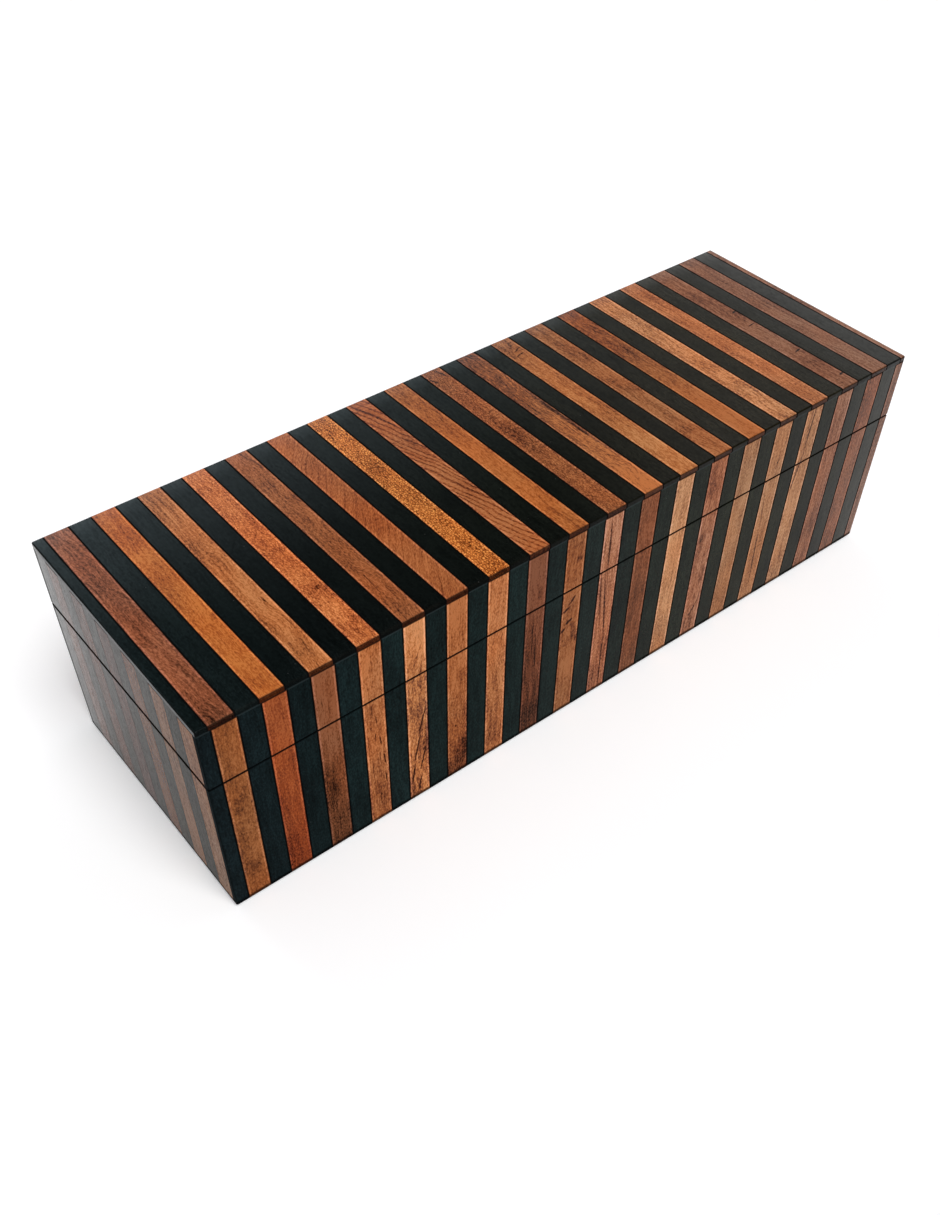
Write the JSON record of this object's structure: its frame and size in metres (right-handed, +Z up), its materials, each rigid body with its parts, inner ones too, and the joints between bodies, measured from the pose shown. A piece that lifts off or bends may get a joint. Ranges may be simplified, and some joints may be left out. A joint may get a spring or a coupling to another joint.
{
  "type": "decorative box",
  "caption": "Long rectangular keepsake box in alternating dark and brown lacquered wood strips, with a deep hinged lid and a lined inside for papers and small things.",
  "frame": {"origin": "middle of the box's underside, on the surface it stands on", "axes": "+X along the box, -Y to its front (the hinges are at +Y), +Z up"},
  "size_m": [0.3, 0.106, 0.085],
  "materials": {
    "dark_strip_wood": "near-black wood strips under clear gloss lacquer",
    "brown_strip_wood": "brown wood strips of mixed timbers under clear gloss lacquer",
    "carcass_wood": "plain sanded hardwood",
    "lining_velvet": "short black velvet over thin card",
    "underside_felt": "thin black felt",
    "hinge_brass": "satin brass",
    "screw_brass": "satin brass"
  },
  "bodies": {
    "base": {"base_front_wall": "carcass_wood", "base_back_wall": "carcass_wood", "base_left_wall": "carcass_wood", "base_right_wall": "carcass_wood", "base_bottom_panel": "carcass_wood", "base_front_dark_strips": "dark_strip_wood", "base_front_brown_strips": "brown_strip_wood", "base_back_dark_strips": "dark_strip_wood", "base_back_brown_strips": "brown_strip_wood", "base_left_dark_strips": "dark_strip_wood", "base_left_brown_strips": "brown_strip_wood", "base_right_dark_strips": "dark_strip_wood", "base_right_brown_strips": "brown_strip_wood", "underside_felt": "underside_felt", "base_floor_pad": "lining_velvet", "base_front_lining": "lining_velvet", "base_back_lining": "lining_velvet", "base_left_lining": "lining_velvet", "base_right_lining": "lining_velvet", "left_hinge_base_leaf": "hinge_brass", "right_hinge_base_leaf": "hinge_brass", "left_hinge_pin": "hinge_brass", "right_hinge_pin": "hinge_brass", "base_hinge_screws": "screw_brass"},
    "lid": {"lid_front_wall": "carcass_wood", "lid_back_wall": "carcass_wood", "lid_left_wall": "carcass_wood", "lid_right_wall": "carcass_wood", "lid_top_panel": "carcass_wood", "top_dark_strips": "dark_strip_wood", "top_brown_strips": "brown_strip_wood", "lid_front_dark_strips": "dark_strip_wood", "lid_front_brown_strips": "brown_strip_wood", "lid_back_dark_strips": "dark_strip_wood", "lid_back_brown_strips": "brown_strip_wood", "lid_left_dark_strips": "dark_strip_wood", "lid_left_brown_strips": "brown_strip_wood", "lid_right_dark_strips": "dark_strip_wood", "lid_right_brown_strips": "brown_strip_wood", "lid_pad": "lining_velvet", "lid_front_lining": "lining_velvet", "lid_back_lining": "lining_velvet", "lid_left_lining": "lining_velvet", "lid_right_lining": "lining_velvet", "left_hinge_lid_leaf": "hinge_brass", "right_hinge_lid_leaf": "hinge_brass", "lid_hinge_screws": "screw_brass"}
  },
  "joints": [
    {"name": "lid_hinge", "type": "hinge", "parent": "base", "child": "lid", "pos_m": [0, 0.0525, 0.0598], "axis": [-1, 0, 0], "range_deg": [0, 95]}
  ]
}
